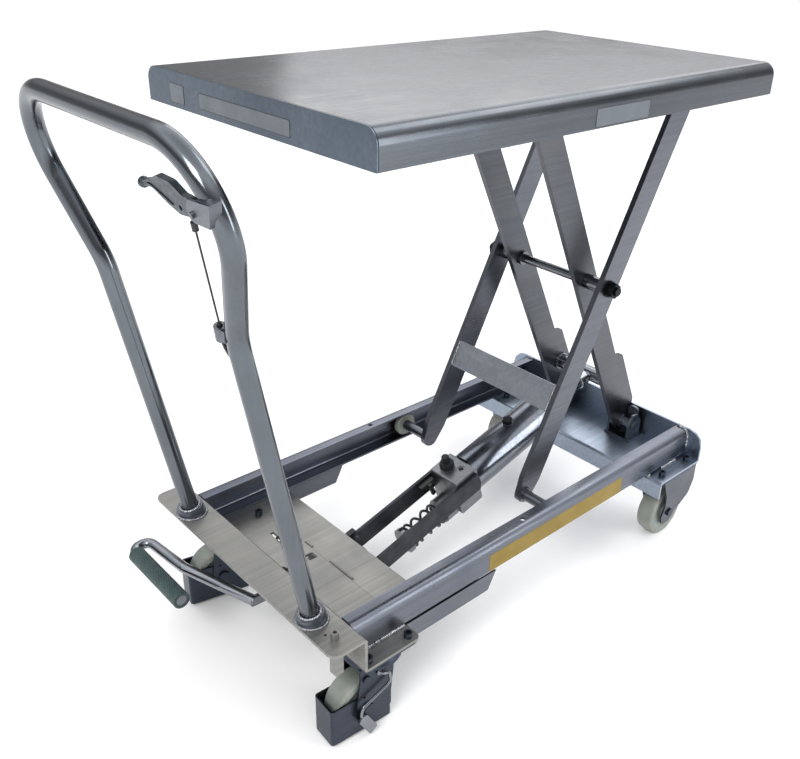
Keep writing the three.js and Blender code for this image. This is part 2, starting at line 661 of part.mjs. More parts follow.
pair("inner_arm", innerArm(), "stainless", innerFrame);
const shaftEnd = INNER_ARM.y0 - GAP;
part(
  "lift_cross_shaft",
  join(
    pinY(LIFT_SHAFT.u, LIFT_SHAFT.n, -shaftEnd, shaftEnd, LIFT_SHAFT.radius),
    pinY(LIFT_SHAFT.u, LIFT_SHAFT.n, -shaftEnd, -shaftEnd + 4, 18),
    pinY(LIFT_SHAFT.u, LIFT_SHAFT.n, shaftEnd - 4, shaftEnd, 18),
  ),
  "polished",
  innerFrame,
);
part(
  "upper_axle",
  join(pinY(armLength, 0, -106, 106, 9), pinY(armLength, 0, -71.5, 71.5, 11)),
  "stainless",
  innerFrame,
);
pair("upper_roller", rollerRing(9 + GAP, 16, 86, 104).translate(armLength, 0, 0), "nylon", innerFrame);
part(
  "scissor_rod",
  join(
    pinY(mid, 0, -150, 150, 8),
    ...[-1, 1].flatMap((s) => [
      pinY(mid, 0, s * 82.4, s * 119.1, 13),
      pinY(mid, 0, s * 129.9, s * 133, 15),
      hexY(mid, 0, s * 132.5, s * 145, 24),
    ]),
    ...[-1, 1].map((s) => pinY(mid, 0, s * 66, s * 71.6, 13)),
  ),
  "polished",
  innerFrame,
);
pair("outer_arm", outerArm(), "stainless", outerFrame);
part("outer_cross_plate", block(154, 204, -119.2, 119.2, 16.2, 24.2), "stainless", outerFrame);
pair("lower_roller", rollerRing(9 + GAP, 23.2, 191.5, 203.5), "nylon", outerFrame);

// ---- platform ---------------------------------------------------------------------------
const D = DECK;
const foldLow = D.top - D.depth;
const skirtTop = D.top - D.edge - GAP;

function platformTop() {
  const { half: w, top, edge: r, sheet: t } = D;
  const section = outline([
    [-w, foldLow], [-w + t, foldLow], [-w + t, top - t, r - t],
    [w - t, top - t, r - t], [w - t, foldLow], [w, foldLow],
    [w, top, r], [-w, top, r],
  ], 8);
  return alongX(section, D.x0 + D.end + GAP, D.x1 - D.end - GAP);
}

function platformSkirt() {
  const outer = D.half - D.sheet - GAP;
  const section = outline([
    [outer, foldLow, 3], [outer, skirtTop], [outer - 3, skirtTop],
    [outer - 3, foldLow + 3], [212, foldLow + 3], [212, foldLow],
  ], 3);
  return alongX(section, D.x0 + D.end + GAP, D.x1 - D.end - GAP);
}

function platformEnd(x) {
  const face = outline([
    [-D.half, foldLow], [D.half, foldLow], [D.half, D.top, D.edge], [-D.half, D.top, D.edge],
  ], 8);
  return alongX(face, x, x + D.end);
}

function rollerTrack() {
  const ceiling = D.top - D.sheet - GAP;
  const section = outline([
    [88, 870.6], [111, 870.6], [111, ceiling], [108, ceiling], [108, 873.6], [88, 873.6],
  ]);
  return alongX(section, -390, 80);
}

function platformBracket() {
  const ceiling = D.top - D.sheet - GAP;
  const { fixedX: x, upperZ: z } = SCISSOR;
  const ear = outline([[x - 20, ceiling], [x - 14, z - 16, 10], [x + 14, z - 16, 10], [x + 18, ceiling]]);
  return join(
    alongY(ear, 112, 117),
    alongY(ear, 132, 137),
    pinY(x, z, 110, 140, 9),
  );
}
part("platform_top", platformTop(), "stainless");
pair("platform_skirt", platformSkirt(), "stainless");
part("platform_end_front", platformEnd(D.x0), "stainless");
part("platform_end_rear", platformEnd(D.x1 - D.end), "stainless");
pair("roller_track", rollerTrack(), "stainless");
pair("platform_bracket", platformBracket(), "stainless");

// ---- hydraulic unit ----------------------------------------------------------------------
// Local X runs up the cylinder axis from the pin, local Z square to it.
const axisUp = new THREE.Vector3(Math.cos(UNIT.tilt), 0, Math.sin(UNIT.tilt));
const axisSide = new THREE.Vector3(-Math.sin(UNIT.tilt), 0, Math.cos(UNIT.tilt));
const unit = placed(UNIT.x, 0, UNIT.z, axisUp, axisSide);
const PLUNGER_W = -34;
const PEDAL_PIVOT = [62, 12];

function pumpBar() {
  const shape = withHoles(
    outline([[-15, -12, 8], [318, -12, 2], [318, 26, 2], [40, 26, 12], [-15, 14, 12]]),
    [0, 0, CYLINDER_PIN + GAP], [...PEDAL_PIVOT, 6 + GAP],
  );
  return alongY(shape, 34.5, 40.5);
}

// Stop screw for the lever, carried by a small block on the left bar only.
const leverStop = () =>
  join(block(64, 80, 26, 37, 22, 42), pinY(72, 33, 15, 30, 3.6, 10), hexY(72, 33, 15, 20, 11));

function pumpBlock() {
  const body = alongY(box2(267, -43, 321.2, 35, 4), -34.1, 34.1);
  const sleeve = cut(pinX(0, PLUNGER_W, 240.4, 268, 25, 24), pinX(0, PLUNGER_W, 239, 262, 8.4, 16));
  const bolt = join(hexZ(291, 12, 34, 48, 24), pinZ(291, 12, 47, 62, 7, 14));
  return cut(
    join(body, sleeve, bolt),
    pinX(0, PLUNGER_W, 239, 264, 8.4, 16),
    pinZ(303, -12, 27, 40, 4.6, 12),
    pinZ(303, -12, 33.6, 40, 7.4, 14),
  );
}

const PISTON_RADIUS = 16;
function cylinderTube() {
  const body = join(pinX(0, 0, 321.5, 556, 38, 28), pinX(0, 0, 555, 560, 33, 28));
  return cut(join(body, hexZ(444, 0, 36, 46, 18)), pinX(0, 0, 336, 570, PISTON_RADIUS + 1, 16));
}

function pistonRod() {
  return join(pinX(0, 0, 430, 646, PISTON_RADIUS, 20), pinX(0, 0, 645, 663, 18, 20));
}

function plunger() {
  return join(
    pinX(0, PLUNGER_W, 78, 249, 7, 16),
    pinX(0, PLUNGER_W, 150, 158, 25, 24),
    pinX(0, PLUNGER_W, 78, 84, 9, 16),
  );
}

function spring() {
  const turns = 4;
  const [from, to, radius, wire] = [161, 237.2, 20.6, 2.6];
  const helix = new THREE.Curve();
  helix.getPoint = (t) => new THREE.Vector3(
    from + (to - from) * t,
    radius * Math.cos(2 * Math.PI * turns * t),
    PLUNGER_W + radius * Math.sin(2 * Math.PI * turns * t),
  );
  const ring = Array.from({ length: 6 }, (_, k) =>
    new THREE.Vector2(wire, 0).rotateAround(new THREE.Vector2(), (k * Math.PI) / 3));
  const options = { steps: turns * 14, extrudePath: helix, bevelEnabled: false };
  return new THREE.ExtrudeGeometry(new THREE.Shape(ring), options);
}

function valveLever() {
  const tab = alongZ(outline([[230, 22, 2], [264, 22, 2], [264, 33, 2], [230, 33, 2]]), 17, 21);
  const pivot = pinX(26, 12, 240, 266.6, 5, 12);
  const arm = alongY(outline([[244, 20], [252, 20], [256, -6, 3], [247, -8, 3]]), 16, 20);
  return join(tab, pivot, arm, block(244, 252, 17, 30, 15, 20));
}

part("pump_bar_left", join(pumpBar(), leverStop()), "dark_steel", unit);
part("pump_bar_right", pumpBar(), "dark_steel", unit).scale.y = -1;
part("pump_block", pumpBlock(), "pump_body", unit);
part("cylinder_tube", cylinderTube(), "polished", unit);
part("piston_rod", pistonRod(), "chrome", unit);
part("pump_plunger", plunger(), "polished", unit);
part("pump_spring", spring(), "spring_steel", unit);
part("valve_lever", valveLever(), "spring_steel", unit);

// ---- foot pedal -------------------------------------------------------------------------
const cosT = Math.cos(UNIT.tilt);
const sinT = Math.sin(UNIT.tilt);
const fromUnit = (s, w) => [UNIT.x + s * cosT - w * sinT, UNIT.z + s * sinT + w * cosT];
const PEDAL = { y0: 70, y1: 222, x: -529, z: 140, grip: 14, rod: 9 };

function pedalArm() {
  const [gx, gz] = fromUnit(...PEDAL_PIVOT);
  const [rx, rz] = fromUnit(68, PLUNGER_W);
  const flat = outline([
    [-446, 122, 6], [gx - 38, gz - 2, 20], [gx - 20, gz - 10, 8],
    [rx - 12, rz - 2, 8], [rx - 2, rz - 10, 8], [rx + 8, rz + 4, 6],
    [gx + 14, gz + 6, 12], [gx - 8, gz + 14, 10], [-446, 138, 6],
  ]);
  const tube = bentRod([
    [PEDAL.x, PEDAL.y0 + 1, PEDAL.z],
    [PEDAL.x, PEDAL.y1 + 18, PEDAL.z, 16],
    [-497, PEDAL.y1 + 18, PEDAL.z, 14],
    [-487, 140, PEDAL.z, 60],
    [-462, 62, 138, 60],
    [-437, 6, 130],
  ], PEDAL.rod, 12, 4);
  return join(
    alongY(flat, 4, 12),
    tube,
    pinY(gx, gz, -42, 42, 6, 16),
    pinY(gx, gz, -20, 34.2, 10, 16),
    pinY(rx, rz, -6, 14, 8, 16),
  );
}

function pedalGrip() {
  const sleeve = pinY(PEDAL.x, PEDAL.z, PEDAL.y0, PEDAL.y1, PEDAL.grip, 24);
  const bore = pinY(PEDAL.x, PEDAL.z, PEDAL.y0 - 5, PEDAL.y1 + 5, PEDAL.rod + GAP, 14);
  return cut(sleeve, bore);
}
part("pedal_arm", pedalArm(), "polished");
part("pedal_grip", pedalGrip(), "grip");

// ---- part frame: centred on the floor under the whole object ----------------------------------
table.updateMatrixWorld(true);
const extent = new THREE.Box3().setFromObject(table, true);
const centre = extent.getCenter(new THREE.Vector3());
const assembly = new THREE.Group();
table.position.set(-centre.x, -centre.y, 0);
assembly.add(table);

export default assembly;
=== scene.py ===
"""Looks of the scissor lift table.

The CAD solids are refined and painted. Turned and swept pieces replace some of them, and welds,
blank labels, a floor and studio light are added.
"""
import json
import math
import random

import bmesh
import bpy
from mathutils import Matrix, Vector


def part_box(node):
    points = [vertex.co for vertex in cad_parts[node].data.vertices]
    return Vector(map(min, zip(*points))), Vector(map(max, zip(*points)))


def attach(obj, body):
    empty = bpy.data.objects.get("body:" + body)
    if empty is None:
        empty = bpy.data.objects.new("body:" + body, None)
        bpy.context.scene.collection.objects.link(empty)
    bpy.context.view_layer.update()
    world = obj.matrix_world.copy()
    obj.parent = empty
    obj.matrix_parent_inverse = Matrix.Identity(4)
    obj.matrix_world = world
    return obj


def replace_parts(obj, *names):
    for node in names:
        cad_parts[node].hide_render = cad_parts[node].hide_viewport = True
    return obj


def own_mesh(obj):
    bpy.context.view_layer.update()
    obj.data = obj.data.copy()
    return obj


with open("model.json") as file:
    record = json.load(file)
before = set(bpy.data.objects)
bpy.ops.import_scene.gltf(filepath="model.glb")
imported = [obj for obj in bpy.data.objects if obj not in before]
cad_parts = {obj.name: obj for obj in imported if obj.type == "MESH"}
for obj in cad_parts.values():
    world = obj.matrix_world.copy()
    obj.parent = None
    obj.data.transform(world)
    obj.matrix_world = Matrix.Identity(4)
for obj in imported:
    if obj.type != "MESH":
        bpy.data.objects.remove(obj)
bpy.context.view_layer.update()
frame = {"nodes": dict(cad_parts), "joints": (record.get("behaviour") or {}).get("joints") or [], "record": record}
nodes = frame["nodes"]
joints = {j["name"]: j for j in frame["joints"]}
random.seed(7)
MM = 0.001
SIDES = (("left", 1), ("right", -1))
up = Vector((0, 0, 1))

# Lengths below are in millimetres in the table's own frame, which starts at the middle of the chassis.
PIVOT = (398, 189)
ARM_RISE = 701
ARM_RUN = 352
shift_x = joints["lift"]["pos_m"][0] - PIVOT[0] * MM


def at(x, y, z):
    """A point of the table's own frame, in metres in the shared frame."""
    return Vector((shift_x + x * MM, y * MM, z * MM))


# ---- camera -----------------------------------------------------------------
def add_camera():
    data = bpy.data.cameras.new("camera")
    data.sensor_width = 36
    data.lens = 40.545
    data.shift_x = -0.0362
    data.shift_y = -0.0005
    data.clip_end = 100
    camera = bpy.data.objects.new("camera", data)
    azimuth, elevation, roll = math.radians(43.43), math.radians(-27.60), math.radians(1.82)
    heading = Matrix.Rotation(-azimuth, 4, "Z")
    pitch = Matrix.Rotation(math.pi / 2 + elevation, 4, "X")
    turn = heading @ pitch @ Matrix.Rotation(roll, 4, "Z")
    camera.matrix_world = Matrix.Translation(at(-1002.7, -978.0, 1114.8)) @ turn
    bpy.context.scene.collection.objects.link(camera)
    bpy.context.scene.camera = camera
    bpy.context.scene.view_settings.view_transform = "Standard"


add_camera()


# ---- node helpers -------------------------------------------------------------
class Shader:
    """A small builder for one material's node tree."""

    def __init__(self, name, **sockets):
        self.material = bpy.data.materials.new(name)
        self.material.use_nodes = True
        self.tree = self.material.node_tree
        self.bsdf = self.tree.nodes["Principled BSDF"]
        for socket, value in sockets.items():
            self.bsdf.inputs[socket.replace("_", " ")].default_value = value

    def add(self, kind, **fields):
        node = self.tree.nodes.new(kind)
        for key, value in fields.items():
            setattr(node, key, value)
        return node

    def link(self, a, b):
        self.tree.links.new(a, b)

    def coords(self, scale, turn=(0, 0, 0)):
        where = self.add("ShaderNodeTexCoord").outputs["Object"]
        mapping = self.add("ShaderNodeMapping")
        mapping.inputs["Rotation"].default_value = turn
        mapping.inputs["Scale"].default_value = scale
        self.link(where, mapping.inputs["Vector"])
        return mapping.outputs["Vector"]

    def noise(self, vector, scale, detail=4, rough=0.55):
        node = self.add("ShaderNodeTexNoise")
        node.inputs["Scale"].default_value = scale
        node.inputs["Detail"].default_value = detail
        node.inputs["Roughness"].default_value = rough
        self.link(vector, node.inputs["Vector"])
        return node.outputs["Fac"]

    def spread(self, value, low, high, start=0.3, end=0.7):
        node = self.add("ShaderNodeMapRange")
        for socket, number in zip(("From Min", "From Max", "To Min", "To Max"), (start, end, low, high)):
            node.inputs[socket].default_value = number
        self.link(value, node.inputs["Value"])
        return node.outputs["Result"]

    def mix(self, factor, a, b):
        node = self.add("ShaderNodeMix", data_type="RGBA")
        self.link(factor, node.inputs["Factor"])
        for socket, value in (("A", a), ("B", b)):
            target = [s for s in node.inputs if s.name == socket and s.type == "RGBA"][0]
            if isinstance(value, (tuple, list)):
                target.default_value = (*value, 1)
            else:
                self.link(value, target)
        return [s for s in node.outputs if s.type == "RGBA"][0]

    def math(self, operation, a, b):
        node = self.add("ShaderNodeMath", operation=operation)
        for socket, value in zip(node.inputs, (a, b)):
            if isinstance(value, (int, float)):
                socket.default_value = value
            else:
                self.link(value, socket)
        return node.outputs[0]

    def bump(self, height, strength, distance):
        node = self.add("ShaderNodeBump")
        node.inputs["Strength"].default_value = strength
        node.inputs["Distance"].default_value = distance
        self.link(height, node.inputs["Height"])
        self.link(node.outputs["Normal"], self.bsdf.inputs["Normal"])


def brushed(name, colour, rough, turn=(0, 0, 0), grain=1.0, patina=0.45, cloudy=0.55):
    """Steel with fine lines along local X (after `turn`), long streaks and cloudy blotches."""
    s = Shader(name, Metallic=1.0, Anisotropic=0.3)
    lines = s.noise(s.coords((6, 1100, 1100), turn), 1.0, 3, 0.6)
    streaks = s.noise(s.coords((2, 170, 170), turn), 1.0, 4, 0.6)
    blotch = s.noise(s.coords((1, 1, 1)), 11, 6, 0.62)
    cloud = s.noise(s.coords((1, 1, 1), (0.4, 0.2, 0.1)), 3.2, 3, 0.5)
    blue = (colour[0] * 0.72, colour[1] * 0.82, colour[2] * 0.98)
    tint = s.mix(s.spread(blotch, 0, patina), colour, blue)
    tint = s.mix(s.spread(cloud, 0, cloudy, 0.35, 0.65), tint, tuple(1.35 * c for c in colour))
    tone = s.mix(s.spread(streaks, 0, 0.42), tint, tuple(0.55 * c for c in colour))
    s.link(tone, s.bsdf.inputs["Base Color"])
    wear = s.math("ADD", s.spread(lines, -0.05, 0.07), s.spread(blotch, -0.05, 0.07))
    s.link(s.math("ADD", wear, rough), s.bsdf.inputs["Roughness"])
    s.bump(s.math("ADD", lines, s.math("MULTIPLY", streaks, 0.6)), 0.20 * grain, 0.0002)
    return s.material


def smooth_metal(name, colour, rough, blotch_scale=14, streak=(3, 260, 260)):
    """Polished or plated steel: clear reflections, broken by faint drawing lines and handling marks."""
    s = Shader(name, Metallic=1.0)
    blotch = s.noise(s.coords((1, 1, 1)), blotch_scale, 6, 0.65)
    lines = s.noise(s.coords(streak), 1.0, 3, 0.6)
    shade = s.mix(s.spread(blotch, 0, 0.55), colour, tuple(0.7 * c for c in colour))
    tone = s.mix(s.spread(lines, 0, 0.25), shade, tuple(0.6 * c for c in colour))
    s.link(tone, s.bsdf.inputs["Base Color"])
    wear = s.math("ADD", s.spread(blotch, -0.03, 0.08), s.spread(lines, -0.02, 0.05))
    s.link(s.math("ADD", wear, rough), s.bsdf.inputs["Roughness"])
    s.bump(lines, 0.08, 0.0002)
    return s.material


def rough_solid(name, colour, dark, rough, metallic=0.0, scale=60, bump=0.25, depth=0.0004, **sockets):
    """Painted, cast, moulded or oiled surfaces: mottled colour and fine grain."""
    s = Shader(name, Metallic=metallic, **sockets)
    mottle = s.noise(s.coords((1, 1, 1)), scale, 6, 0.62)
    grain = s.noise(s.coords((1, 1, 1)), scale * 12, 3, 0.6)
    s.link(s.mix(s.spread(mottle, 0, 1), colour, dark), s.bsdf.inputs["Base Color"])
    s.link(s.math("ADD", s.spread(mottle, -0.08, 0.10), rough), s.bsdf.inputs["Roughness"])
    s.bump(s.math("ADD", mottle, s.math("MULTIPLY", grain, 0.5)), bump, depth)
    return s.material


def black_fastener(name, bright, dark, direction, beyond, rough, both_ways=False):
    """Bright steel with dark fasteners: whatever lies further than `beyond` metres along a direction."""
    s = Shader(name, Metallic=1.0)
    along = s.add("ShaderNodeVectorMath", operation="DOT_PRODUCT")
    s.link(s.coords((1, 1, 1)), along.inputs[0])
    along.inputs[1].default_value = direction
    reach = along.outputs["Value"]
    if both_ways:
        reach = s.math("ABSOLUTE", reach, 0)
    outside = s.math("GREATER_THAN", reach, beyond)
    grain = s.noise(s.coords((1, 1, 1)), 90, 5, 0.6)
    steel = s.mix(s.spread(grain, 0, 0.5), bright, tuple(0.6 * c for c in bright))
    s.link(s.mix(outside, steel, dark), s.bsdf.inputs["Base Color"])
    worn = s.spread(grain, rough, rough + 0.08)
    s.link(s.math("ADD", s.math("MULTIPLY", outside, 0.22), worn), s.bsdf.inputs["Roughness"])
    s.bump(grain, 0.10, 0.0002)
    return s.material


def knurled(name, colour, worn, centre, across, along, ribs, pitch, depth):
    """Diamond knurl: two families of ridges crossing round the axis `along`, worn bright on the crests."""
    s = Shader(name, Metallic=0.15)
    split = s.add("ShaderNodeSeparateXYZ")
    mapping = s.add("ShaderNodeMapping")
    mapping.inputs["Location"].default_value = tuple(-c for c in centre)
    s.link(s.add("ShaderNodeTexCoord").outputs["Object"], mapping.inputs["Vector"])
    s.link(mapping.outputs["Vector"], split.inputs[0])
    round_turn = s.math("ARCTAN2", split.outputs[across[0]], split.outputs[across[1]])
    turn = s.math("MULTIPLY", round_turn, ribs)
    run = s.math("MULTIPLY", split.outputs[along], 2 * math.pi / pitch)
    crests = [s.math("SINE", s.math(way, turn, run), 0) for way in ("ADD", "SUBTRACT")]
    knurl = s.math("MULTIPLY", s.math("ADD", crests[0], 1), s.math("ADD", crests[1], 1))
    dirt = s.noise(s.coords((1, 1, 1)), 45, 5, 0.6)
    base = s.mix(s.spread(dirt, 0, 0.6), colour, tuple(0.55 * c for c in colour))
    s.link(s.mix(s.spread(knurl, 0, 0.65, 0.6, 4.0), base, worn), s.bsdf.inputs["Base Color"])
    s.link(s.spread(dirt, 0.42, 0.62), s.bsdf.inputs["Roughness"])
    s.bump(knurl, 0.9, depth)
    return s.material


arm_tilt = math.atan2(ARM_RISE, ARM_RUN)
unit_axis = Vector(joints["plunger_slide"]["axis"])
unit_side = unit_axis.cross(Vector((0, 1, 0)))
unit_origin = Vector(joints["cylinder_swing"]["pos_m"])
unit_tilt = math.atan2(unit_axis.z, unit_axis.x)
grip_low, grip_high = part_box("pedal_grip")
grip_centre = (Vector(grip_low) + Vector(grip_high)) / 2
BLACK_OXIDE = (0.016, 0.017, 0.020)
DARK_BOLT = (0.05, 0.052, 0.056)
BLOCK_TOP, TUBE_TOP, ROD_NUT = 35.3, 38.4, 129.6
crosswise = (0, 0, math.pi / 2)
looks = {
    "deck": brushed("deck_steel", (0.118, 0.126, 0.138), 0.22, grain=0.35, patina=0.3, cloudy=0.2),
    "deck_end": brushed("deck_end_steel", (0.122, 0.148, 0.178), 0.30, crosswise),
    "stainless": brushed("brushed_steel", (0.150, 0.160, 0.180), 0.33),
    "rail": brushed("rail_steel", (0.150, 0.160, 0.185), 0.30, patina=0.6),
    # Painted light: the rear crossmember gets a copy of the brushed steel about twice as light as the rails,
    # standing in for light missing from its reflections.
    "rear_frame": brushed("rear_frame_steel_painted_light", (0.300, 0.345, 0.410), 0.33, crosswise, patina=0.6),
    # Painted light: the cross plate and upper axle get a lighter copy of the steel colour, standing in for light
    # missing from their dark reflections.
    "crosswise": brushed("crosswise_steel_painted_light", (0.340, 0.360, 0.395), 0.36, crosswise),
    "inner_arm": brushed("inner_arm_steel", (0.110, 0.114, 0.123), 0.33, (0, arm_tilt - math.pi, 0)),
    "outer_arm": brushed("outer_arm_steel", (0.135, 0.142, 0.160), 0.33, (0, arm_tilt, 0)),
    "caster": brushed("caster_steel", (0.055, 0.064, 0.082), 0.33, (0, math.pi / 2, 0), patina=0.5),
    "pale_plate": brushed("pale_plate_steel", (0.285, 0.281, 0.264), 0.46, crosswise, grain=0.7, patina=0.2),
    "polished": smooth_metal("polished_steel", (0.25, 0.265, 0.29), 0.16),
    "tube": smooth_metal("handle_steel", (0.145, 0.160, 0.178), 0.13, 10, streak=(260, 260, 3)),
    "chrome": smooth_metal("chromed_rod", (0.62, 0.64, 0.66), 0.08, 30),
    "cylinder": black_fastener(
        "cylinder_steel", (0.20, 0.215, 0.245), BLACK_OXIDE, unit_side,
        unit_origin.dot(unit_side) + TUBE_TOP * MM, 0.18),
    "pump_body": black_fastener(
        "pump_block_steel", (0.23, 0.24, 0.255), DARK_BOLT, unit_side,
        unit_origin.dot(unit_side) + BLOCK_TOP * MM, 0.36),
    "scissor_rod": black_fastener(
        "scissor_rod_steel", (0.16, 0.17, 0.19), BLACK_OXIDE, (0, 1, 0), ROD_NUT * MM, 0.16,
        both_ways=True),
    "weld": rough_solid(
        "weld_bead", (0.42, 0.43, 0.45), (0.12, 0.125, 0.14), 0.28, 1.0, 260, 0.6, 0.0006),
    "dark_steel": rough_solid(
        "dark_bar", (0.055, 0.058, 0.067), (0.032, 0.034, 0.040), 0.40, 0.85, 45),
    "spring_steel": rough_solid(
        "black_steel", (0.008, 0.008, 0.009), (0.018, 0.018, 0.02), 0.38, 0.2, 90),
    "cast_alloy": rough_solid(
        "cast_alloy", (0.085, 0.105, 0.120), (0.05, 0.06, 0.07), 0.34, 0.95, 120, 0.4, 0.0005),
    "nylon": rough_solid(
        "cast_nylon", (0.245, 0.270, 0.245), (0.175, 0.198, 0.175), 0.40, 0.0, 26, 0.12, 0.0003,
        Subsurface_Weight=0.2),
    "cable": rough_solid(
        "cable_sheath", (0.012, 0.012, 0.013), (0.02, 0.02, 0.023), 0.5, 0.0, 300, 0.2, 0.0002),
    "grip": knurled(
        "knurled_grip", (0.045, 0.085, 0.088), (0.16, 0.24, 0.23), grip_centre, ("X", "Z"), "Y",
        ribs=26, pitch=5.2 * MM, depth=0.0009),
    "label_silver": rough_solid(
        "label_silver", (0.132, 0.148, 0.168), (0.11, 0.125, 0.142), 0.42, 0.3, 25, 0.05, 0.0001),
    "label_dark": rough_solid(
        "label_dark", (0.020, 0.021, 0.024), (0.03, 0.03, 0.034), 0.40, 0.0, 25, 0.05, 0.0001),
    "label_yellow": rough_solid(
        "label_yellow", (0.25, 0.165, 0.008), (0.20, 0.13, 0.006), 0.48, 0.0, 20, 0.05, 0.0001),
}


def paint(obj, look):
    obj.data.materials.clear()
    obj.data.materials.append(looks[look])
    return obj


# ---- refining CAD solids: welded vertices, clean faces, rolled edges ------------------
def smooth_by_angle():
    tree = bpy.data.node_groups.new("smooth_by_angle", "GeometryNodeTree")
    for way in ("INPUT", "OUTPUT"):
        tree.interface.new_socket("Geometry", in_out=way, socket_type="NodeSocketGeometry")
    start, end = tree.nodes.new("NodeGroupInput"), tree.nodes.new("NodeGroupOutput")
    faces = tree.nodes.new("GeometryNodeSetShadeSmooth")
    edges = tree.nodes.new("GeometryNodeSetShadeSmooth")
    edges.domain = "EDGE"
    edges.inputs["Shade Smooth"].default_value = False
    angle = tree.nodes.new("GeometryNodeInputMeshEdgeAngle")
    sharp = tree.nodes.new("FunctionNodeCompare")
    sharp.operation = "GREATER_THAN"
    sharp.inputs[1].default_value = math.radians(42)
    tree.links.new(angle.outputs["Unsigned Angle"], sharp.inputs[0])
    tree.links.new(sharp.outputs[0], edges.inputs["Selection"])
    tree.links.new(start.outputs[0], faces.inputs["Geometry"])
    tree.links.new(faces.outputs[0], edges.inputs["Geometry"])
    tree.links.new(edges.outputs[0], end.inputs[0])
    return tree


smoothing = smooth_by_angle()


def refine(obj, edge, flat=True):
    """Smooth a piece and round its sharp edges by `edge`. `flat` first clears the seams inside flat faces."""
    if flat:
        weld = obj.modifiers.new("weld", "WELD")
        weld.merge_threshold = 0.01 * MM
        clean = obj.modifiers.new("clean", "DECIMATE")
        clean.decimate_type = "DISSOLVE"
        clean.angle_limit = math.radians(1.5)
    if edge:
        bevel = obj.modifiers.new("edge", "BEVEL")
        bevel.width = edge
        bevel.segments = 2
        bevel.limit_method = "ANGLE"
        bevel.angle_limit = math.radians(38)
        bevel.miter_outer = "MITER_ARC"
    obj.modifiers.new("smooth", "NODES").node_group = smoothing
    normals = obj.modifiers.new("normals", "WEIGHTED_NORMAL")
    normals.keep_sharp = True
    return obj


node_looks = {m["node"]: m["material_slot"] for m in frame["record"]["subparts"]}
special = {
    "platform_top": "deck", "platform_end_front": "deck_end", "platform_end_rear": "deck_end",
    "rail_left": "rail", "rail_right": "rail", "rear_crossmember": "rear_frame",
    "outer_cross_plate": "crosswise", "upper_axle": "crosswise",
    "cylinder_tube": "cylinder", "handle_tube": "tube", "scissor_rod": "scissor_rod",
    "brake_pedal_left": "polished", "brake_pedal_right": "polished",
}
PLAIN_EDGE = 0.6 * MM
wide_edges = {"release_lever": 0.7 * MM, "pump_block": 0.8 * MM}
for part, slot in node_looks.items():
    look = special.get(part, slot)
    if part.startswith(("inner_arm", "outer_arm")):
        look = part.rsplit("_", 1)[0]
    if part.startswith(("swivel_fork", "rear_caster", "front_caster")):
        look = "caster"
    paint(nodes[part], look)
    refine(nodes[part], wide_edges.get(part, PLAIN_EDGE))


# ---- geometry for finer pieces ------------------------------------------------------------
def piece(name, shape, look, body, edge=0):
    """A new painted mesh from (vertices, faces), which rides on a body and has a material slot."""
    mesh = bpy.data.meshes.new(name)
    mesh.from_pydata([tuple(v) for v in shape[0]], [], shape[1])
    obj = bpy.data.objects.new(name, mesh)
    bpy.context.scene.collection.objects.link(obj)
    shell = bmesh.new()
    shell.from_mesh(mesh)
    bmesh.ops.recalc_face_normals(shell, faces=shell.faces)
    shell.to_mesh(mesh)
    shell.free()
    paint(obj, look)
    refine(obj, edge, flat=False)
    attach(obj, body)
    return obj


def tube_faces(rings, sides, closed=False):
    """Quads between consecutive rings of `sides` points, capped at each end unless the rings close."""
    faces = []
    for i in range(rings if closed else rings - 1):
        for k in range(sides):
            low, high = i * sides, (i + 1) % rings * sides
            faces.append((low + k, low + (k + 1) % sides, high + (k + 1) % sides, high + k))
    if not closed:
        faces.append(tuple(range(sides - 1, -1, -1)))
        faces.append(tuple((rings - 1) * sides + k for k in range(sides)))
    return faces


def swept(points, radius, sides=24, closed=False):
    """A round bar along points. radius is one length, or a list with one for each point."""
    radii = radius if isinstance(radius, list) else [radius] * len(points)
    count = len(points)
    verts = []
    normal = None
    for i, point in enumerate(points):
        before = points[i - 1] if i or closed else point
        after = points[(i + 1) % count] if i < count - 1 or closed else point
        tangent = (after - before).normalized()
        if normal is None:
            normal = tangent.orthogonal()
        normal = (normal - tangent * normal.dot(tangent)).normalized()
        side = tangent.cross(normal)
        for k in range(sides):
            turn = 2 * math.pi * k / sides
            verts.append(point + radii[i] * (math.cos(turn) * normal + math.sin(turn) * side))
    return verts, tube_faces(count, sides, closed)


def bend(corners, steps):
    """Points along straight runs joined by arcs, from corners [x, y, z, radius] in the table's frame."""
    points = []
    for i, (x, y, z, radius) in enumerate(corners):
        corner = at(x, y, z)
        if not radius:
            points.append(corner)
            continue
        before = (at(*corners[i - 1][:3]) - corner).normalized()
        after = (at(*corners[i + 1][:3]) - corner).normalized()
        half = before.angle(after) / 2
        centre = corner + (before + after).normalized() * radius * MM / math.sin(half)
        start = corner + before * radius * MM / math.tan(half) - centre
        axis = after.cross(before).normalized()
        for k in range(steps + 1):
            points.append(centre + Matrix.Rotation((math.pi - 2 * half) * k / steps, 3, axis) @ start)
    return points


def turned(profile, centre, axis, sides=72):
    """A ring turned about an axis through centre. profile: closed, (radius, offset along the axis) in mm."""
    across = axis.orthogonal().normalized()
    other = axis.cross(across)
    verts = []
    for k in range(sides):
        turn = 2 * math.pi * k / sides
        out = math.cos(turn) * across + math.sin(turn) * other
        verts += [centre + out * radius * MM + axis * offset * MM for radius, offset in profile]
    return verts, tube_faces(sides, len(profile), closed=True)


def resampled(points, step):
    """The same line, with points spaced `step` apart."""
    out = [points[0]]
    for a, b in zip(points, points[1:]):
        count = max(1, round((b - a).length / step))
        out += [a.lerp(b, (k + 1) / count) for k in range(count)]
    return out


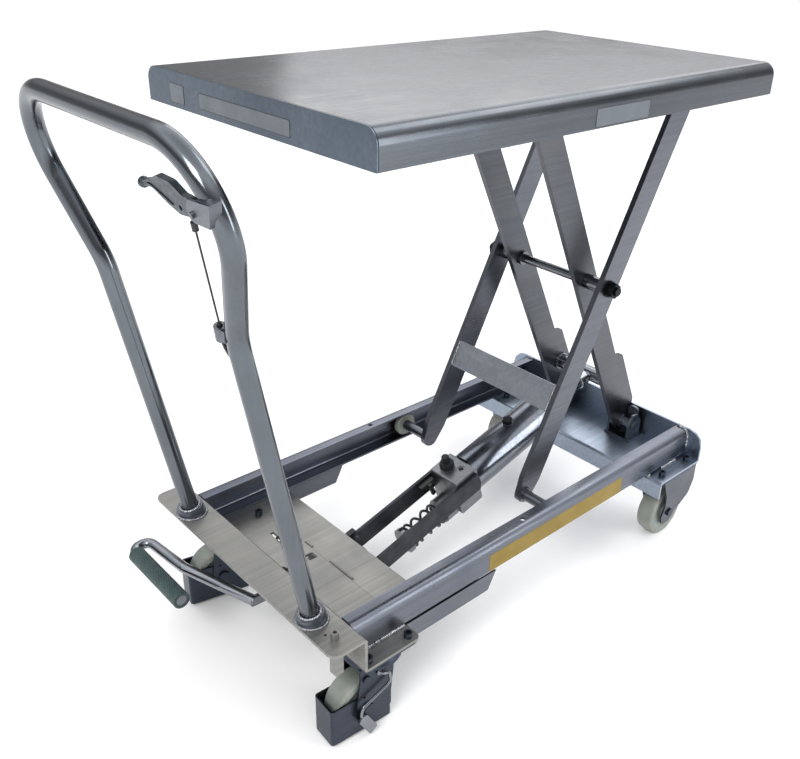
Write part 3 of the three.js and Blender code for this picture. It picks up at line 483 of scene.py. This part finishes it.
def bead(name, corners, radius, body, closed=False):
    """A weld bead: overlapping ripples along the line, each a little different."""
    step, ripple = 0.8, 2.6
    line = resampled(corners, step * MM)
    if closed:
        line = line[:-1]
    radii = []
    for i in range(len(line)):
        wave = abs(math.sin(math.pi * i * step / ripple))
        radii.append(radius * MM * (0.84 + 0.20 * wave + random.uniform(-0.05, 0.05)))
    if not closed:
        for k, taper in enumerate((0.45, 0.75, 0.92)):
            radii[k] *= taper
            radii[-1 - k] *= taper
    return piece(name, swept(line, radii, 10, closed), "weld", body)


def circle(centre, axis, radius, count=64):
    across = axis.orthogonal().normalized()
    other = axis.cross(across)
    turns = [2 * math.pi * k / count for k in range(count + 1)]
    return [centre + (math.cos(t) * across + math.sin(t) * other) * radius * MM for t in turns]


def label(name, centre, across, high, width, height, look, body, lift=0.0):
    """A thin sticker with round corners, its face `lift` millimetres further out than a plain one."""
    out = across.cross(high)
    corner = 2.2
    rim = []
    for cx, cy, start in ((1, 1, 0), (-1, 1, 90), (-1, -1, 180), (1, -1, 270)):
        for k in range(6):
            turn = math.radians(start + 18 * k)
            u = cx * (width / 2 - corner) + corner * math.cos(turn)
            v = cy * (height / 2 - corner) + corner * math.sin(turn)
            rim.append(centre + (across * u + high * v) * MM)
    verts = [p + out * offset * MM for offset in (0.02, 0.30 + lift) for p in rim]
    return piece(name, (verts, tube_faces(2, len(rim))), look, body, 0.1 * MM)


# ---- push handle -----------------------------------------------------------------------------
FOOT, KNEE, CROWN = (-448.2, 166.8, 219.3), (-532.3, 166.8, 678.2), (-589.6, 276.1, 910.8)
TUBE = 13.5
KNEE_BEND, CROWN_BEND = 90, 88
half_route = [(*FOOT, 0), (*KNEE, KNEE_BEND), (*CROWN, CROWN_BEND)]
route = half_route + [(x, -y, z, radius) for x, y, z, radius in reversed(half_route)]
handle = piece("handle", swept(bend(route, 22), TUBE * MM, 40), "tube", "chassis")
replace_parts(handle, "handle_tube")

leg = (at(*KNEE) - at(*FOOT)).normalized()
for side, sign in SIDES:
    foot = at(FOOT[0], sign * FOOT[1], FOOT[2])
    bead(f"collar_weld_{side}", circle(foot + leg * 15.5 * MM, leg, 15.6), 2.6, "chassis", closed=True)
    bead(f"collar_base_weld_{side}", circle(foot + up * 0.4 * MM, up, 23.4), 2.2, "chassis", closed=True)


# ---- wheels ------------------------------------------------------------------------------------
def wheel_profile(radius, half):
    """Bored hub, shallow web recess and crowned tread with rounded shoulders."""
    flank = radius - 4.5
    hub = [(6.4, 0), (13, 0), (14.5, 1), (16.5, 3.2)]
    side = hub + [(31, 3.6), (34, 2.6), (36, 0.6), (38, 0), (flank, 0)]
    shoulder = [(flank + 4 * math.sin(t), 4 - 4 * math.cos(t)) for t in (0.4, 0.8, 1.2)]
    edge = side + shoulder
    near = [(r, -half + d) for r, d in edge]
    far = [(r, half - d) for r, d in reversed(edge)]
    return near + [(radius - 0.1, -half * 0.5), (radius, 0), (radius - 0.1, half * 0.5)] + far


for end, half_width in (("front", 19), ("rear", 17)):
    for side, _ in SIDES:
        node = f"{end}_wheel_{side}"
        low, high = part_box(node)
        spin = joints[f"{end}_wheel_spin_{side}"]
        radius = (high[2] - low[2]) / 2 / MM
        profile = wheel_profile(radius, half_width)
        shape = turned(profile, Vector(spin["pos_m"]), Vector(spin["axis"]))
        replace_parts(piece(f"{end}_tread_{side}", shape, "nylon", node), node)


# ---- pump spring ---------------------------------------------------------------------------------
PLUNGER_DROP = -34


def unit(s, y, w):
    """A point of the hydraulic unit: s along the cylinder from its pin, y across, w square to both."""
    return unit_origin + (unit_axis * s + Vector((0, 1, 0)) * y + unit_side * w) * MM


def coil(start, end, turns, radius, count=260):
    """Points of a compression spring with its end turns closed up."""
    points = []
    for i in range(count + 1):
        t = i / count
        eased = t - 0.6 * math.sin(2 * math.pi * t) / (2 * math.pi)
        turn = 2 * math.pi * turns * t
        across, square = radius * math.cos(turn), radius * math.sin(turn)
        points.append(unit(start + (end - start) * eased, across, PLUNGER_DROP + square))
    return points


spring_line = coil(start=161, end=237.2, turns=5, radius=20.6)
spring_shape = swept(spring_line, 2.5 * MM, 12)
spring = piece("pump_coil", spring_shape, "spring_steel", "hydraulic_unit")
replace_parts(spring, "pump_spring")
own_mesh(spring)


# ---- welds ---------------------------------------------------------------------------------------
RAIL_OUTER, RAIL_END = 217.5, 427.1
WELD_Y, WELD_Z, LIP_WELD_Z = 216.5, 161.8, 161.6
WEB_WELD_X, WEB_WELD_Y = -413, 219


def rail_bead(name, y, z, start, end, radius):
    """A bead that runs lengthwise under the rail."""
    bead(name, [at(start, y, z), at(end, y, z)], radius, "chassis")


for side, sign in SIDES:
    rail_bead(f"rail_foot_weld_{side}", sign * WELD_Y, WELD_Z, -394, -316, 4.2)
    end_line = [(-192, 218), (-203, 217.8), (-211.5, 214.6), (-216.6, 208), (-218, 199), (-218, 178)]
    round_end = [at(RAIL_END - 1.2, -sign * y, z) for y, z in end_line]
    bead(f"rail_end_weld_{side}", round_end, 3.3, "chassis")
    rail_bead(f"rail_rear_weld_{side}", sign * WELD_Y, WELD_Z, 346, 396, 3.6)
    rail_bead(f"lip_weld_{side}", sign * WELD_Y, LIP_WELD_Z, 302, 310, 3.4)
    web_line = [at(WEB_WELD_X, sign * WEB_WELD_Y, z) for z in (166, 208)]
    bead(f"rail_web_weld_{side}", web_line, 2.2, "chassis")

arm_axis = Vector((ARM_RUN, 0, ARM_RISE)).normalized()
arm_side = Vector((-arm_axis.z, 0, arm_axis.x))
roller_pivot = at(PIVOT[0] - ARM_RUN, 0, PIVOT[1])
for side, sign in SIDES:
    beside_plate = arm_side * 24.6 + Vector((0, sign * 118.4, 0))
    ends = [roller_pivot + (arm_axis * u + beside_plate) * MM for u in (154, 204)]
    bead(f"cross_plate_weld_{side}", ends, 2.2, "outer_arms")


# ---- blank labels -----------------------------------------------------------------------------------
end_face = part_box("platform_end_front")[0][0]
across_end = Vector((0, -1, 0))
along_side = Vector((1, 0, 0))


def rimmed_label(name, centre, across, width, height):
    label(name + "_rim", centre, across, up, width, height, "label_dark", "platform")
    label(name, centre, across, up, width - 2, height - 2, "label_silver", "platform", 0.12)


rimmed_label("blank_label_small", Vector((end_face, 171 * MM, 883.5 * MM)), across_end, 38, 26)
rimmed_label("blank_label_wide", Vector((end_face, 10 * MM, 883 * MM)), across_end, 206, 21)
rimmed_label("blank_name_plate", at(30, -250, 878.5), along_side, 118, 25)
label("blank_rail_strip", at(39, -RAIL_OUTER, 182.5), along_side, up, 350, 33, "label_yellow", "chassis")


# ---- stage -----------------------------------------------------------------------------
def add_floor():
    mesh = bpy.data.meshes.new("floor")
    reach = 40
    corners = [(-reach, -reach, 0), (reach, -reach, 0), (reach, reach, 0), (-reach, reach, 0)]
    mesh.from_pydata(corners, [], [(0, 1, 2, 3)])
    floor = bpy.data.objects.new("floor", mesh)
    bpy.context.scene.collection.objects.link(floor)
    matt = Shader("floor", Base_Color=(0.93, 0.93, 0.93, 1), Roughness=1.0, Specular_IOR_Level=0.0)
    floor.data.materials.append(matt.material)


def add_light(name, place, target, size, power, colour=(1, 1, 1)):
    data = bpy.data.lights.new(name, "AREA")
    data.shape = "RECTANGLE"
    data.size, data.size_y = size
    data.energy = power
    data.color = colour
    lamp = bpy.data.objects.new(name, data)
    lamp.location = place
    lamp.rotation_euler = (Vector(target) - Vector(place)).to_track_quat("-Z", "Y").to_euler()
    bpy.context.scene.collection.objects.link(lamp)


def add_world():
    """A dome that is dim above the horizon and brighter higher up, so that steel sides get contrast."""
    world = bpy.data.worlds.new("studio")
    bpy.context.scene.world = world
    world.use_nodes = True
    tree = world.node_tree
    where = tree.nodes.new("ShaderNodeTexCoord")
    split = tree.nodes.new("ShaderNodeSeparateXYZ")
    ramp = tree.nodes.new("ShaderNodeValToRGB")
    tree.links.new(where.outputs["Generated"], split.inputs[0])
    tree.links.new(split.outputs["Z"], ramp.inputs[0])
    stops = ramp.color_ramp.elements
    stops[0].position, stops[0].color = 0.0, (0.34, 0.34, 0.345, 1)
    stops[1].position, stops[1].color = 1.0, (0.55, 0.55, 0.56, 1)
    for place, level in ((0.10, 0.17), (0.30, 0.13), (0.50, 0.38), (0.75, 0.85)):
        stop = stops.new(place)
        stop.color = (level, level, level * 1.02, 1)
    tree.links.new(ramp.outputs[0], tree.nodes["Background"].inputs["Color"])
    tree.nodes["Background"].inputs["Strength"].default_value = 2.1


add_floor()
add_world()
add_light("key", (-2.6, -1.2, 2.6), (0.1, 0, 0.5), (1.4, 1.4), 60, (1.0, 0.99, 0.97))
add_light("fill", (1.8, -3.2, 1.3), (0.1, 0, 0.5), (0.8, 2.2), 35, (0.95, 0.98, 1.0))
add_light("back", (3.4, 2.6, 2.9), (0.1, 0, 0.8), (3.6, 2.6), 42)
add_light("top", (2.6, -0.4, 3.6), (0.1, 0, 0.5), (1.8, 1.8), 26)
